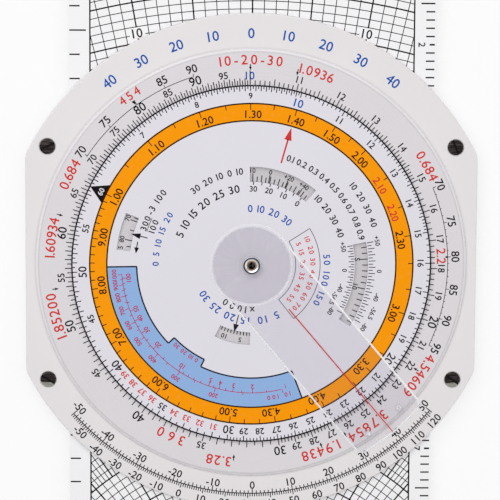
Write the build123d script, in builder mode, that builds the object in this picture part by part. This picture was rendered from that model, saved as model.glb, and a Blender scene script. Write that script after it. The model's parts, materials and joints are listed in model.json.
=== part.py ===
from build123d import *

import os
from math import cos, radians, sin

# Circular slide rule with a sliding wind chart, lying on its back.
# The calculating dial faces +Z and the wind dial faces the surface below it.
# The origin is on the pivot's axis, at the lowest face. +Y runs along the
# chart, towards the end where its rulers start. Lengths are in millimetres,
# and clock angles are in degrees, turned clockwise from +Y as seen from above.

# Body plates: one round outline, cut by two flats, for both plates and rails.
plate_diameter = 155.6
plate_flat_depth = 7.7
plate_corner_radius = 6.0
plate_edge_round = 0.4
front_plate_thickness = 1.8
rear_ledge_thickness = 1.0

# Sliding chart and the rails of the channel that it runs in.
rail_width = 13.2
slide_length = 254.0
slide_thickness = 1.1
slide_corner_radius = 2.0
slide_side_clearance = 0.25
slide_face_clearance = 0.15

# Corner screws and their barrel nuts, set in from the plates' round edge.
screw_edge_distance = 4.8
screw_clock_angles = [60.0, 120.0, 240.0, 300.0]
screw_slot_turns = [113.0, 145.0, 148.0, 25.0]
screw_head_radius = 2.4
screw_head_height = 0.9
screw_head_proud = 0.15
screw_head_round = 0.3
screw_shank_radius = 1.2
screw_slot_width = 0.65
screw_slot_depth = 0.4
screw_hole_clearance = 0.1
screw_seat_clearance = 0.05
screw_seat_bevel = 0.3
screw_tip_gap = 0.3
thread_clearance = 0.05
nut_barrel_radius = 1.9
nut_flange_radius = 2.8
nut_flange_thickness = 0.7
nut_flange_sunk = 0.1
nut_end_gap = 0.1

# Fixed outer scale, bonded to the front plate inside its flats, with a bevelled rim.
scale_disc_margin = 3.1
scale_disc_thickness = 1.2
scale_disc_bevel = 0.9

# Turning computer disc with its four read-out windows, inside the fixed scale's band.
scale_band_width = 11.15
computer_disc_thickness = 1.0
computer_disc_edge = 0.15
# Each window has an inner radius, an outer radius, and its two clock angles.
altitude_window = (25.9, 30.6, -1.3, 40.4)
air_speed_window = (32.1, 36.2, 78.4, 121.9)
density_window = (21.2, 25.15, 180.9, 206.9)
correction_window = (37.8, 42.1, 276.4, 292.6)
computer_disc_windows = [altitude_window, air_speed_window, density_window, correction_window]

# Clear cursor: a bossed hub, a straight arm, and a rounded end past the fixed scale.
cursor_clock_angle = 139.7
cursor_overhang = 2.2
cursor_arm_width = 25.4
cursor_hub_swell = 0.3
cursor_end_corner = 3.0
cursor_thickness = 1.0
cursor_edge_bevel = 0.35
cursor_boss_height = 0.5
cursor_boss_bevel = 1.0
cursor_foot_radius = 0.8
cursor_foot_inset = 4.6
cursor_foot_spread = 5.6
cursor_foot_gap = 0.1

# Thin washers that part the turning pieces.
washer_face_gap = 0.05
disc_washer_radius = 8.0
disc_washer_thickness = 0.15
cursor_washer_inset = 1.3
cursor_washer_thickness = 0.2

# Two-part pivot: a flanged eyelet from the front and a core clinched behind.
pivot_radius = 2.0
pivot_running_clearance = 0.06
pivot_seat_clearance = 0.02
pivot_flange_radius = 2.8
pivot_flange_thickness = 0.3
pivot_flange_round = 0.2
pivot_eyelet_wall = 0.53
pivot_core_wall = 0.35
pivot_core_setback = 0.1
clinch_radius = 2.6
clinch_thickness = 0.3
pivot_washer_radius = 3.6
pivot_washer_thickness = 0.3
clinch_recess_clearance = 0.3

# Wind dial: a milled ring behind the rear plate and the clear disc bonded
# to its spigot, which together grip the ledge around the plate's opening.
azimuth_ring_margin = 4.1
azimuth_ring_thickness = 1.2
azimuth_band_width = 16.0
azimuth_sight_bevel = 0.5
azimuth_notch_count = 90
azimuth_notch_radius = 0.8
azimuth_notch_depth = 0.35
azimuth_spigot_setback = 5.8
azimuth_spigot_wall = 4.0
azimuth_running_clearance = 0.3
plotting_disc_lip = 3.4
plotting_disc_thickness = 0.8
plotting_disc_clearance = 0.4
wind_dial_face_gap = 0.2

# Heights of the stack, from the lowest face up.
azimuth_ring_top = azimuth_ring_thickness
rear_plate_bottom = azimuth_ring_top + wind_dial_face_gap
rear_ledge_top = rear_plate_bottom + rear_ledge_thickness
plotting_disc_bottom = rear_ledge_top + wind_dial_face_gap
plotting_disc_top = plotting_disc_bottom + plotting_disc_thickness
rear_plate_top = plotting_disc_top + wind_dial_face_gap
slide_bottom = rear_plate_top + slide_face_clearance
front_plate_bottom = slide_bottom + slide_thickness + slide_face_clearance
front_plate_top = front_plate_bottom + front_plate_thickness
scale_disc_top = front_plate_top + scale_disc_thickness
disc_washer_top = scale_disc_top + disc_washer_thickness
computer_disc_bottom = disc_washer_top + washer_face_gap
computer_disc_top = computer_disc_bottom + computer_disc_thickness
cursor_washer_bottom = computer_disc_top + washer_face_gap
cursor_bottom = cursor_washer_bottom + cursor_washer_thickness
cursor_boss_top = cursor_bottom + cursor_thickness + cursor_boss_height
pivot_flange_bottom = cursor_boss_top + washer_face_gap
pivot_flange_top = pivot_flange_bottom + pivot_flange_thickness

# Heights and radii at the fasteners and at the pivot.
screw_seat_height = front_plate_top + screw_head_proud - screw_head_height
screw_seat_radius = screw_head_radius + screw_seat_clearance
screw_hole_radius = screw_shank_radius + screw_hole_clearance
nut_hole_radius = nut_barrel_radius + screw_hole_clearance
nut_flange_bottom = rear_plate_bottom + nut_flange_sunk
nut_flange_top = nut_flange_bottom + nut_flange_thickness
nut_seat_radius = nut_flange_radius + screw_seat_clearance
clinch_recess_depth = pivot_washer_thickness + clinch_thickness + clinch_recess_clearance
clinch_recess_top = front_plate_bottom + clinch_recess_depth
pivot_washer_bottom = clinch_recess_top - pivot_washer_thickness
clinch_bottom = pivot_washer_bottom - clinch_thickness
pivot_running_radius = pivot_radius + pivot_running_clearance
pivot_seat_radius = pivot_radius + pivot_seat_clearance
pivot_core_radius = pivot_radius - pivot_eyelet_wall - pivot_seat_clearance
pivot_core_bore = pivot_core_radius - pivot_core_wall
clinch_recess_radius = pivot_washer_radius + screw_seat_clearance

# Widths and radii that follow from the plates' outline, working inwards.
plate_radius = plate_diameter / 2
plate_width = plate_diameter - 2 * plate_flat_depth
slide_width = plate_width - 2 * (rail_width + slide_side_clearance)
screw_circle_radius = plate_radius - screw_edge_distance
scale_disc_radius = plate_width / 2 - scale_disc_margin
computer_disc_radius = scale_disc_radius - scale_band_width
cursor_reach = scale_disc_radius + cursor_overhang
cursor_hub_radius = cursor_arm_width / 2 + cursor_hub_swell
cursor_washer_radius = cursor_hub_radius - cursor_washer_inset
cursor_foot_circle = cursor_reach - cursor_foot_inset
azimuth_ring_radius = plate_width / 2 - azimuth_ring_margin
azimuth_sight_radius = azimuth_ring_radius - azimuth_band_width
azimuth_notch_circle = azimuth_ring_radius + azimuth_notch_radius - azimuth_notch_depth
azimuth_spigot_radius = azimuth_ring_radius - azimuth_spigot_setback
plotting_disc_radius = azimuth_spigot_radius + plotting_disc_lip

# How closely an edge's radius has to match when it is picked out by its size.
radius_match = 0.001


def clock_point(radius, angle):
    """Point at a radius and a clock angle."""
    return (radius * sin(radians(angle)), radius * cos(radians(angle)))


def plate_outline():
    """Round plate with its two flats and their softened corners."""
    with BuildSketch() as outline:
        Circle(plate_radius)
        Rectangle(plate_width, plate_diameter, mode=Mode.INTERSECT)
        fillet(outline.vertices(), plate_corner_radius)
    return outline.sketch


def ring_sector(inner, outer, start, end):
    """Part of a flat ring between two clock angles."""
    middle = (start + end) / 2
    with BuildSketch() as sector:
        with BuildLine():
            ThreePointArc(clock_point(outer, start), clock_point(outer, middle), clock_point(outer, end))
            Line(clock_point(outer, end), clock_point(inner, end))
            ThreePointArc(clock_point(inner, end), clock_point(inner, middle), clock_point(inner, start))
            Line(clock_point(inner, start), clock_point(outer, start))
        make_face()
    return sector.sketch


def flat_ring(inner, outer, bottom, thickness):
    """Plain washer standing at a height."""
    with BuildPart() as ring:
        with BuildSketch(Plane.XY.offset(bottom)):
            Circle(outer)
            Circle(inner, mode=Mode.SUBTRACT)
        extrude(amount=thickness)
    return ring.part


def side_rail(side):
    """Rail that fills the gap between the plates on one side of the slide."""
    with BuildPart() as rail:
        with BuildSketch(Plane.XY.offset(rear_plate_top)):
            add(plate_outline())
            with Locations((side * (plate_width - rail_width) / 2, 0)):
                Rectangle(rail_width, plate_diameter, mode=Mode.INTERSECT)
            with Locations(*screw_spots):
                Circle(nut_hole_radius, mode=Mode.SUBTRACT)
        extrude(amount=front_plate_bottom - rear_plate_top)
    return rail.part


screw_spots = [clock_point(screw_circle_radius, angle) for angle in screw_clock_angles]

# Front plate: the pivot is clinched in a recess in its back.
with BuildPart() as front_plate:
    with BuildSketch(Plane.XY.offset(front_plate_bottom)):
        add(plate_outline())
    extrude(amount=front_plate_thickness)
    fillet(front_plate.edges().group_by(Axis.Z)[-1], plate_edge_round)
    with BuildSketch(Plane.XY.offset(front_plate_bottom)):
        Circle(clinch_recess_radius)
    extrude(amount=clinch_recess_depth, mode=Mode.SUBTRACT)
    with BuildSketch(Plane.XY.offset(front_plate_bottom)):
        Circle(pivot_seat_radius)
        with Locations(*screw_spots):
            Circle(screw_hole_radius)
    extrude(amount=front_plate_thickness, mode=Mode.SUBTRACT)
    with BuildSketch(Plane.XY.offset(screw_seat_height)):
        with Locations(*screw_spots):
            Circle(screw_seat_radius)
    extrude(amount=front_plate_thickness, mode=Mode.SUBTRACT)
    top_circles = front_plate.edges().filter_by(GeomType.CIRCLE).group_by(Axis.Z)[-1]
    seat_rims = top_circles.filter_by(lambda edge: abs(edge.radius - screw_seat_radius) < radius_match)
    chamfer(seat_rims, screw_seat_bevel)

# Rear plate: a wide opening, with a ledge that the wind dial turns in.
with BuildPart() as rear_plate:
    with BuildSketch(Plane.XY.offset(rear_plate_bottom)):
        add(plate_outline())
    extrude(amount=rear_plate_top - rear_plate_bottom)
    fillet(rear_plate.edges().group_by(Axis.Z)[0], plate_edge_round)
    with BuildSketch(Plane.XY.offset(rear_plate_bottom)):
        Circle(azimuth_spigot_radius + azimuth_running_clearance)
        with Locations(*screw_spots):
            Circle(nut_hole_radius)
    extrude(amount=rear_plate_top - rear_plate_bottom, mode=Mode.SUBTRACT)
    with BuildSketch(Plane.XY.offset(rear_ledge_top)):
        Circle(plotting_disc_radius + plotting_disc_clearance)
    extrude(amount=rear_plate_top - rear_ledge_top, mode=Mode.SUBTRACT)
    with BuildSketch(Plane.XY.offset(rear_plate_bottom)):
        with Locations(*screw_spots):
            Circle(nut_seat_radius)
    extrude(amount=nut_flange_sunk + nut_flange_thickness, mode=Mode.SUBTRACT)

left_rail = side_rail(-1)
right_rail = side_rail(1)

# Sliding chart.
with BuildPart() as wind_slide:
    with BuildSketch(Plane.XY.offset(slide_bottom)):
        RectangleRounded(slide_width, slide_length, slide_corner_radius)
    extrude(amount=slide_thickness)

# Fixed scale disc with its bevelled rim.
with BuildPart() as scale_disc:
    with BuildSketch(Plane.XY.offset(front_plate_top)):
        Circle(scale_disc_radius)
    extrude(amount=scale_disc_thickness)
    chamfer(scale_disc.edges().group_by(Axis.Z)[-1], scale_disc_bevel)
    with BuildSketch(Plane.XY.offset(front_plate_top)):
        Circle(pivot_seat_radius)
    extrude(amount=scale_disc_thickness, mode=Mode.SUBTRACT)

disc_washer = flat_ring(
    pivot_running_radius, disc_washer_radius, scale_disc_top, disc_washer_thickness
)

# Computer disc, cut through at its windows.
with BuildPart() as computer_disc:
    with BuildSketch(Plane.XY.offset(computer_disc_bottom)):
        Circle(computer_disc_radius)
    extrude(amount=computer_disc_thickness)
    chamfer(computer_disc.edges().group_by(Axis.Z)[-1], computer_disc_edge)
    with BuildSketch(Plane.XY.offset(computer_disc_bottom)):
        Circle(pivot_running_radius)
        for window in computer_disc_windows:
            add(ring_sector(*window))
    extrude(amount=computer_disc_thickness, mode=Mode.SUBTRACT)

cursor_washer = flat_ring(
    pivot_running_radius, cursor_washer_radius, cursor_washer_bottom, cursor_washer_thickness
)

# Cursor, drawn along its own arm.
cursor_direction = clock_point(1, cursor_clock_angle)
cursor_plane = Plane(origin=(0, 0, cursor_bottom), x_dir=(*cursor_direction, 0), z_dir=(0, 0, 1))
with BuildPart() as cursor:
    with BuildSketch(cursor_plane) as cursor_outline:
        with Locations((cursor_reach / 2, 0)):
            Rectangle(cursor_reach, cursor_arm_width)
        Circle(cursor_reach, mode=Mode.INTERSECT)
        fillet(cursor_outline.vertices().sort_by(Axis.X)[-2:], cursor_end_corner)
        Circle(cursor_hub_radius)
    extrude(amount=cursor_thickness)
    chamfer(cursor.edges().group_by(Axis.Z)[-1], cursor_edge_bevel)
    with Locations((0, 0, cursor_bottom + cursor_thickness)):
        Cone(
            cursor_hub_radius - cursor_edge_bevel,
            cursor_hub_radius - cursor_boss_bevel,
            cursor_boss_height,
            align=(Align.CENTER, Align.CENTER, Align.MIN),
        )
    with BuildSketch(Plane.XY.offset(cursor_bottom)):
        Circle(pivot_running_radius)
    extrude(amount=cursor_thickness + cursor_boss_height, mode=Mode.SUBTRACT)

# Two small feet that carry the cursor's free end over the fixed scale.
with BuildPart() as cursor_feet:
    with BuildSketch(Plane.XY.offset(scale_disc_top + cursor_foot_gap)):
        for turn in (-cursor_foot_spread, cursor_foot_spread):
            with Locations(clock_point(cursor_foot_circle, cursor_clock_angle + turn)):
                Circle(cursor_foot_radius)
    extrude(amount=cursor_bottom - scale_disc_top - cursor_foot_gap)

# Pivot: the eyelet's flange holds the cursor, and its core grips the plate.
with BuildPart() as pivot_eyelet:
    with BuildSketch(Plane.XY.offset(pivot_washer_bottom)):
        Circle(pivot_radius)
    extrude(amount=pivot_flange_bottom - pivot_washer_bottom)
    with BuildSketch(Plane.XY.offset(pivot_flange_bottom)):
        Circle(pivot_flange_radius)
    extrude(amount=pivot_flange_thickness)
    fillet(pivot_eyelet.edges().group_by(Axis.Z)[-1], pivot_flange_round)
    with BuildSketch(Plane.XY.offset(pivot_washer_bottom)):
        Circle(pivot_core_radius + pivot_seat_clearance)
    extrude(amount=pivot_flange_top - pivot_washer_bottom, mode=Mode.SUBTRACT)

with BuildPart() as pivot_core:
    with BuildSketch(Plane.XY.offset(clinch_bottom)):
        Circle(clinch_radius)
    extrude(amount=clinch_thickness)
    with BuildSketch(Plane.XY.offset(pivot_washer_bottom)):
        Circle(pivot_core_radius)
    extrude(amount=pivot_flange_top - pivot_core_setback - pivot_washer_bottom)
    with BuildSketch(Plane.XY.offset(clinch_bottom)):
        Circle(pivot_core_bore)
    extrude(amount=pivot_flange_top - clinch_bottom, mode=Mode.SUBTRACT)

pivot_washer = flat_ring(
    pivot_seat_radius, pivot_washer_radius, pivot_washer_bottom, pivot_washer_thickness
)

# Corner screws, each with the turn of its own slot.
with BuildPart() as corner_screws:
    with BuildSketch(Plane.XY.offset(screw_seat_height)):
        with Locations(*screw_spots):
            Circle(screw_head_radius)
    extrude(amount=screw_head_height)
    fillet(corner_screws.edges().group_by(Axis.Z)[-1], screw_head_round)
    with BuildSketch(Plane.XY.offset(nut_flange_top + screw_tip_gap)):
        with Locations(*screw_spots):
            Circle(screw_shank_radius)
    extrude(amount=screw_seat_height - nut_flange_top - screw_tip_gap)
    with BuildSketch(Plane.XY.offset(screw_seat_height + screw_head_height)):
        for spot, turn in zip(screw_spots, screw_slot_turns):
            with Locations(Location((*spot, 0), (0, 0, turn))):
                Rectangle(3 * screw_head_radius, screw_slot_width)
    extrude(amount=-screw_slot_depth, mode=Mode.SUBTRACT)

# Barrel nuts, let into the rear plate and reaching up to the front plate.
with BuildPart() as corner_nuts:
    with BuildSketch(Plane.XY.offset(nut_flange_bottom)):
        with Locations(*screw_spots):
            Circle(nut_flange_radius)
    extrude(amount=nut_flange_thickness)
    with BuildSketch(Plane.XY.offset(nut_flange_top)):
        with Locations(*screw_spots):
            Circle(nut_barrel_radius)
            Circle(screw_shank_radius + thread_clearance, mode=Mode.SUBTRACT)
    extrude(amount=front_plate_bottom - nut_end_gap - nut_flange_top)
    with BuildSketch(Plane.XY.offset(nut_flange_bottom)):
        for spot, turn in zip(screw_spots, screw_slot_turns):
            with Locations(Location((*spot, 0), (0, 0, turn))):
                Rectangle(3 * nut_flange_radius, screw_slot_width)
    extrude(amount=screw_slot_depth, mode=Mode.SUBTRACT)

# Azimuth ring: milled flange outside the rear plate, spigot through it.
with BuildPart() as azimuth_ring:
    with BuildSketch():
        Circle(azimuth_ring_radius)
        with PolarLocations(azimuth_notch_circle, azimuth_notch_count):
            Circle(azimuth_notch_radius, mode=Mode.SUBTRACT)
    extrude(amount=azimuth_ring_thickness)
    with BuildSketch(Plane.XY.offset(azimuth_ring_top)):
        Circle(azimuth_spigot_radius)
    extrude(amount=plotting_disc_bottom - azimuth_ring_top)
    with BuildSketch(Plane.XY.offset(azimuth_ring_top)):
        Circle(azimuth_spigot_radius - azimuth_spigot_wall)
    extrude(amount=plotting_disc_bottom - azimuth_ring_top, mode=Mode.SUBTRACT)
    with BuildSketch():
        Circle(azimuth_sight_radius)
    extrude(amount=azimuth_ring_thickness, mode=Mode.SUBTRACT)
    lowest_circles = azimuth_ring.edges().filter_by(GeomType.CIRCLE).group_by(Axis.Z)[0]
    sight_rim = lowest_circles.filter_by(lambda edge: abs(edge.radius - azimuth_sight_radius) < radius_match)
    chamfer(sight_rim, azimuth_sight_bevel)

# Clear disc that the wind is plotted on.
with BuildPart() as plotting_disc:
    with BuildSketch(Plane.XY.offset(plotting_disc_bottom)):
        Circle(plotting_disc_radius)
    extrude(amount=plotting_disc_thickness)

finished_parts = {
    "front_plate": front_plate.part,
    "rear_plate": rear_plate.part,
    "left_rail": left_rail,
    "right_rail": right_rail,
    "wind_slide": wind_slide.part,
    "scale_disc": scale_disc.part,
    "disc_washer": disc_washer,
    "computer_disc": computer_disc.part,
    "cursor_washer": cursor_washer,
    "cursor": cursor.part,
    "cursor_feet": cursor_feet.part,
    "pivot_eyelet": pivot_eyelet.part,
    "pivot_core": pivot_core.part,
    "pivot_washer": pivot_washer,
    "corner_screws": corner_screws.part,
    "corner_nuts": corner_nuts.part,
    "azimuth_ring": azimuth_ring.part,
    "plotting_disc": plotting_disc.part,
}

os.makedirs("parts", exist_ok=True)
for name, piece in finished_parts.items():
    piece.label = name
    export_step(piece, f"parts/{name}.step")
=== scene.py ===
"""A circular slide rule with a sliding chart: its printing, its finishes, a plain stage and the camera.

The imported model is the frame. All printing is thin raised ink on the faces of that model.
"""

import json
import math

import bpy
from bpy.props import FloatProperty, FloatVectorProperty, PointerProperty
from mathutils import Matrix, Vector

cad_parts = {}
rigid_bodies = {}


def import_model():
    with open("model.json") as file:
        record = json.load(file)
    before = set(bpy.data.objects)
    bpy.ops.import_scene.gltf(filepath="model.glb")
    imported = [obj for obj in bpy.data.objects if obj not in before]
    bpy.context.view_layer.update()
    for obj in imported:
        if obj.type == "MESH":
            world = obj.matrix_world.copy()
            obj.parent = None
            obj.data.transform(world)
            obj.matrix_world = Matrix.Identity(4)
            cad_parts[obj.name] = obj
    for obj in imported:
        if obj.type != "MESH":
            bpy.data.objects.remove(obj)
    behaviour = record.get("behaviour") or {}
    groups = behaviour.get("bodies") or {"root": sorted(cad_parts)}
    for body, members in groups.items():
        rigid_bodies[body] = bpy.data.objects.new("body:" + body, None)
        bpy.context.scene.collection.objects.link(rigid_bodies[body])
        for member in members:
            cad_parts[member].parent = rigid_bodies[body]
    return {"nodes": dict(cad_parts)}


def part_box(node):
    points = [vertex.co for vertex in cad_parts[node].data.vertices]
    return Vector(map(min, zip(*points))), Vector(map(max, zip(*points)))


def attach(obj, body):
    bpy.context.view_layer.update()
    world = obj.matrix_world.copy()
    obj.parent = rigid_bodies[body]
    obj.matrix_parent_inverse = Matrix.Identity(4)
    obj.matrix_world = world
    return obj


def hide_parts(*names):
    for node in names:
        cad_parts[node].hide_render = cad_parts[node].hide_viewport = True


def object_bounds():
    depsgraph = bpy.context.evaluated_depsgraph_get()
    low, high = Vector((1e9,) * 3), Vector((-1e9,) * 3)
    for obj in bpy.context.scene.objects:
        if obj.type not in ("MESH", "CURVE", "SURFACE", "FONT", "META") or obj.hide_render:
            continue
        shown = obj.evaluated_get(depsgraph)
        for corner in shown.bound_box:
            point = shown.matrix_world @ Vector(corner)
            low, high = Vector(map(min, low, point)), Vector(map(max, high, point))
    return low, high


bl_info = {
    "name": "Circular slide rule",
    "version": (1, 0, 0),
    "blender": (4, 5, 0),
    "location": "View3D > Sidebar > Slide Rule",
    "description": "Prints, finishes and stages a circular slide rule",
    "category": "Object",
}

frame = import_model()
cad_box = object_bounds()

MM = 0.001
FULL_TURN = 360.0


def linear(level):
    """A screen level from 0 to 255 as the light that it stands for."""
    share = level / 255
    return share / 12.92 if share <= 0.04045 else ((share + 0.055) / 1.055) ** 2.4


def millimetres(name, description, value):
    """A length that a user sets, given in millimetres."""
    return FloatProperty(
        name=name, description=description, default=value * MM, precision=5, subtype="DISTANCE", unit="LENGTH"
    )


def degrees(name, description, value):
    """An angle that a user sets, given in degrees."""
    return FloatProperty(name=name, description=description, default=math.radians(value), subtype="ANGLE", unit="ROTATION")


def colour(name, description, red, green, blue):
    """A colour that a user sets, given in screen levels."""
    levels = (linear(red), linear(green), linear(blue))
    return FloatVectorProperty(name=name, description=description, default=levels, size=3, min=0, max=1, subtype="COLOR")


class PrintSizes(bpy.types.PropertyGroup):
    """Sizes of the ink and of the rings that the scales are built on."""

    ink_rise: millimetres("Ink rise", "How far ink stands above its face", 0.02)
    ink_sink: millimetres("Ink sink", "How far ink reaches into its face", 0.01)
    weight: millimetres("Weight", "How much heavier figures are than the plain font", 0.042)
    fine: millimetres("Fine line", "Width of the finest lines", 0.2)
    thin: millimetres("Thin line", "Width of scale marks", 0.285)
    bold: millimetres("Bold line", "Width of the heavy lines", 0.44)
    outer_circle: millimetres("Outer circle", "Radius of the line that the outer scale stands on", 56.0)
    inner_circle: millimetres("Inner circle", "Radius where the marks of the inner scale start", 55.75)
    hour_ring_inner: millimetres("Hour ring inside", "Inner radius of the orange ring", 44.85)
    hour_ring_outer: millimetres("Hour ring outside", "Outer radius of the orange ring", 50.15)
    plate_circle: millimetres("Plate circle", "Radius of the temperature scale's line on the plate", 72.8)
    chart_half_width: millimetres("Chart half width", "From the chart's middle line to its border", 50.06)
    chart_centre: millimetres("Chart centre", "How far below the pivot the chart's rays meet", 129.7)
    rose_edge: millimetres("Rose edge", "Radius where the marks of the compass rose start", 65.4)


class Inks(bpy.types.PropertyGroup):
    """Colours of the inks."""

    black: colour("Black", "Ink of most scales", 18, 15, 20)
    brown: colour("Brown", "Ink on the orange ring", 50, 18, 4)
    red: colour("Red", "Ink of the red numbers and the cursor's line", 214, 56, 52)
    blue: colour("Blue", "Ink of the blue numbers", 2, 84, 174)
    magenta: colour("Magenta", "Ink on the blue band", 190, 40, 84)
    orange: colour("Orange", "Ink of the hour ring", 255, 157, 0)
    sky: colour("Pale blue", "Ink of the blue band", 148, 182, 228)
    navy: colour("Navy", "Outline of the blue band", 14, 16, 44)
    white: colour("White", "Ink of the number on the black triangle", 226, 224, 230)
    grey: colour("Grey", "Fine line around the note field", 70, 68, 76)


class Plastics(bpy.types.PropertyGroup):
    """Colours of the plastics."""

    plate: colour("Plates", "The two plates and their rails", 237, 233, 234)
    chart: colour("Slide", "The sliding chart", 251, 250, 252)
    scale: colour("Fixed disc", "The grey disc with the outer scale", 228, 224, 228)
    dial: colour("Turning disc", "The disc with the inner scale", 233, 230, 238)
    washer: colour("Washers", "The washers on the pivot", 218, 214, 223)
    clear: colour("Clear plastic", "The cursor and the plotting disc", 251, 250, 253)


class StageSettings(bpy.types.PropertyGroup):
    """Where the camera stands and how long its lens is."""

    distance: millimetres("Distance", "From the camera to the front plate", 819.32)
    shift_right: millimetres("Shift right", "How far the pivot lies right of the view's middle", 0.415)
    shift_up: millimetres("Shift up", "How far the pivot lies above the view's middle", -4.342)
    tilt: degrees("Tilt", "Turn about the level axis", 7.34)
    sway: degrees("Sway", "Turn about the upright axis", 1.455)
    roll: degrees("Roll", "Turn about the line of sight", -0.115)
    lens: FloatProperty(name="Lens", description="Focal length on a 36 mm sensor", default=189.6, unit="CAMERA")


def settings():
    """The property group with the user's values of one kind."""
    return bpy.context.scene.slide_rule_sizes


def top(node):
    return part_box(node)[1].z


def bottom(node):
    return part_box(node)[0].z


def bottom_edge(node):
    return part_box(node)[0].y


def deselect():
    for item in bpy.context.selected_objects:
        item.select_set(False)


def edit(piece):
    """Opens a piece in edit mode with all of it selected."""
    deselect()
    piece.select_set(True)
    bpy.context.view_layer.objects.active = piece
    bpy.ops.object.mode_set(mode="EDIT")
    bpy.ops.mesh.select_all(action="SELECT")


def close_edit():
    """Merges doubles, turns the normals outward and leaves edit mode."""
    bpy.ops.mesh.select_all(action="SELECT")
    bpy.ops.mesh.remove_doubles(threshold=0.001 * MM)
    bpy.ops.mesh.normals_make_consistent(inside=False)
    bpy.ops.object.mode_set(mode="OBJECT")


def plane(width, length, place=Matrix.Identity(4)):
    """A flat rectangle of a width along x and a length along y, in millimetres, then put in place."""
    deselect()
    bpy.ops.mesh.primitive_plane_add(size=MM)
    piece = bpy.context.object
    piece.matrix_world = place @ Matrix.Diagonal((width, length, 1, 1))
    bpy.ops.object.transform_apply(location=True, rotation=True, scale=True)
    return piece


def lift(piece):
    """Gives a flat outline the depth of the ink, from under its face to above it."""
    sizes = settings()
    edit(piece)
    bpy.ops.transform.translate(value=(0, 0, -sizes.ink_sink))
    bpy.ops.mesh.extrude_region_move(TRANSFORM_OT_translate={"value": (0, 0, sizes.ink_rise + sizes.ink_sink)})
    close_edit()


MARKS = {}


def kept(make):
    """Models a mark once for each set of sizes. Later calls get the same one."""

    def find(*sizes):
        key = (make.__name__, *sizes)
        if key not in MARKS:
            mark = make(*sizes)
            bpy.context.scene.collection.objects.unlink(mark)
            MARKS[key] = mark
        return MARKS[key]

    return find


@kept
def bar(width, length):
    """A printed line that stands on the origin and runs up."""
    piece = plane(width, length, Matrix.Translation((0, length * MM / 2, 0)))
    lift(piece)
    return piece


@kept
def wedge(width, height):
    """A printed triangle with its base on the origin and its tip up."""
    corner = 1 / math.cos(math.radians(30))
    deselect()
    bpy.ops.mesh.primitive_circle_add(vertices=3, radius=MM, fill_type="NGON")
    piece = bpy.context.object
    piece.location.y = height * MM / 3
    piece.scale = (width * corner / 2, height / 1.5, 1)
    bpy.ops.object.transform_apply(location=True, rotation=True, scale=True)
    lift(piece)
    return piece


@kept
def spot(diameter):
    """A printed dot."""
    deselect()
    bpy.ops.mesh.primitive_circle_add(vertices=24, radius=diameter * MM / 2, fill_type="NGON")
    piece = bpy.context.object
    lift(piece)
    return piece


@kept
def figure(text, height):
    """A printed number with its middle on the origin, as high as a capital of that height."""
    sizes = settings()
    deselect()
    bpy.ops.object.text_add()
    piece = bpy.context.object
    words = piece.data
    words.body = text
    words.size = height * MM / FIGURE_SHARE
    words.resolution_u = 3
    bpy.ops.object.convert(target="CURVE")
    thin_out(piece, 0.01 * height * MM)
    outline = piece.data
    outline.extrude = (sizes.ink_rise + sizes.ink_sink) / 2
    outline.offset = min(sizes.weight, FIGURE_GROWTH * height * MM)
    bpy.ops.object.convert(target="MESH")
    edges = [corner.co.x for corner in piece.data.vertices]
    middle = (min(edges) + max(edges)) / 2
    piece.location = (-middle, -height * MM / 2, (sizes.ink_rise - sizes.ink_sink) / 2)
    bpy.ops.object.transform_apply(location=True, rotation=False, scale=False)
    edit(piece)
    close_edit()
    return piece


def thin_out(curve, reach):
    """Dissolves the points of a figure's outline that nearly touch the next, so that it can grow heavier."""
    crowded = False
    for line in curve.data.splines:
        points = line.bezier_points
        for point, following in zip(points, [*points[1:], points[0]]):
            point.select_control_point = (point.co - following.co).length < reach
            crowded = crowded or point.select_control_point
    if crowded:
        bpy.ops.object.mode_set(mode="EDIT")
        bpy.ops.curve.dissolve_verts()
        bpy.ops.object.mode_set(mode="OBJECT")


# Height of a figure in Blender's own font, as a share of the font's size
FIGURE_SHARE = 0.729
# The most that a small figure grows heavier, as a share of its height
FIGURE_GROWTH = 0.021


def log_turn(value, start):
    """Clock angle of a value from 10 to 100 on a scale that starts at an angle."""
    return start + FULL_TURN * math.log10(value / 10)


# The cursor, in degrees of the clock and millimetres
CURSOR_CLOCK = 139.7
CURSOR_HALF_WIDTH = 12.7
CURSOR_REACH = 69.2


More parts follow.
